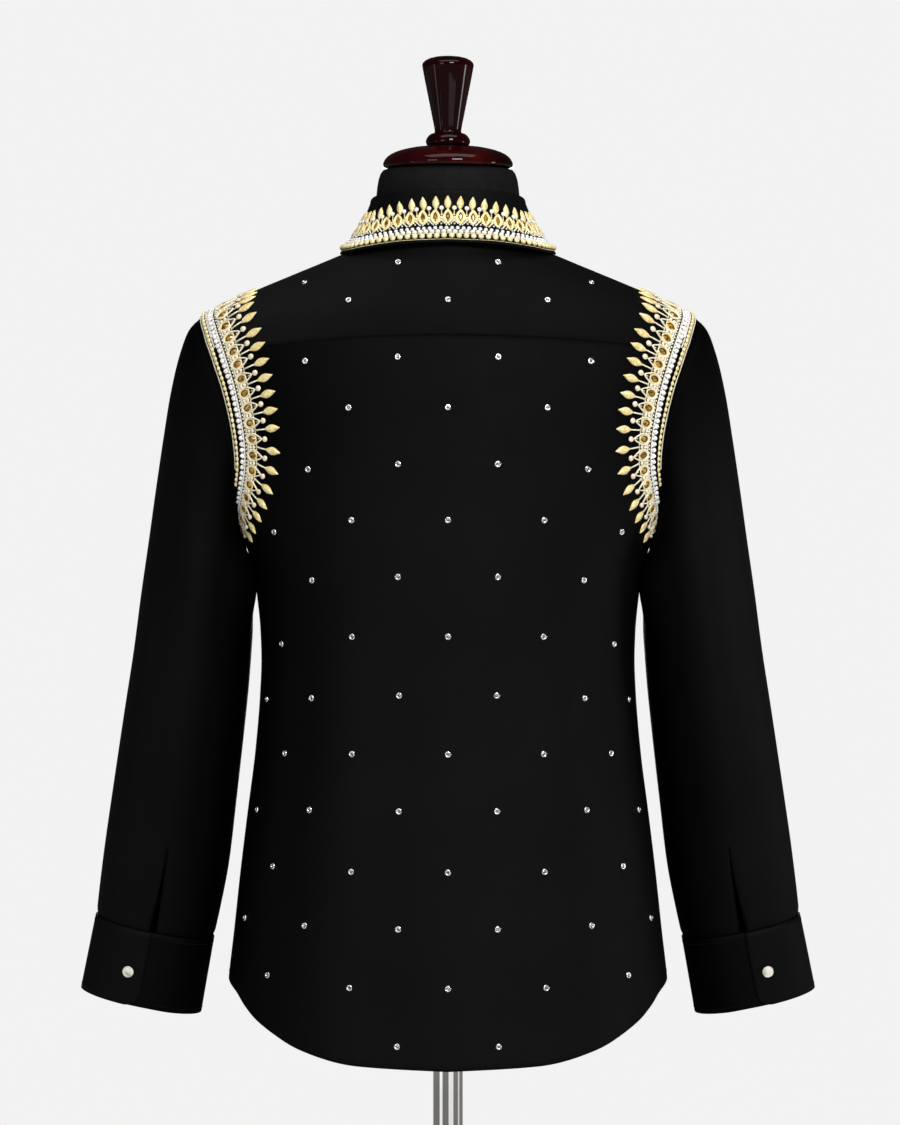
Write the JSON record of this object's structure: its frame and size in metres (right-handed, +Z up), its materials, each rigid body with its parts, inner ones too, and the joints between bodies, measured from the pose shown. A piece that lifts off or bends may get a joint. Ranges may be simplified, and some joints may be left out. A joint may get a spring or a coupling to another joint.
{
  "type": "embellished shirt on a dress form",
  "caption": "Black long-sleeved shirt with beaded gold borders at collar and armholes and scattered stones, on a limbless dress form with a wooden cap, pole and round base.",
  "frame": {"origin": "on the floor under the pole, at the centre of the round base", "axes": "+Z up along the pole; the shirt's back faces +Y and its front -Y; +X is the wearer's left"},
  "size_m": [0.6926, 0.36, 1.5434],
  "materials": {
    "black_shirting": "matte",
    "goldwork": "satin",
    "button_shell": "gloss",
    "form_cloth": "matte",
    "cherry_wood": "gloss",
    "pole_chrome": "polished",
    "base_chrome": "polished"
  },
  "bodies": {
    "root": {"back": "black_shirting", "yoke": "black_shirting", "placket": "black_shirting", "collar_stand": "black_shirting", "collar_fall": "black_shirting", "collar_border": "goldwork", "front_left": "black_shirting", "sleeve_top_left": "black_shirting", "sleeve_middle_left": "black_shirting", "sleeve_lower_left": "black_shirting", "cuff_left": "black_shirting", "armhole_border_left": "goldwork", "cuff_button_left": "button_shell", "front_right": "black_shirting", "sleeve_top_right": "black_shirting", "sleeve_middle_right": "black_shirting", "sleeve_lower_right": "black_shirting", "cuff_right": "black_shirting", "armhole_border_right": "goldwork", "cuff_button_right": "button_shell", "collar_button": "button_shell", "front_button_1": "button_shell", "front_button_2": "button_shell", "front_button_3": "button_shell", "front_button_4": "button_shell", "front_button_5": "button_shell", "front_button_6": "button_shell", "front_button_7": "button_shell", "dress_form": "form_cloth", "neck_cap": "cherry_wood", "finial": "cherry_wood", "form_flange": "pole_chrome", "stand_pole": "pole_chrome", "stand_base": "base_chrome"}
  },
  "joints": []
}
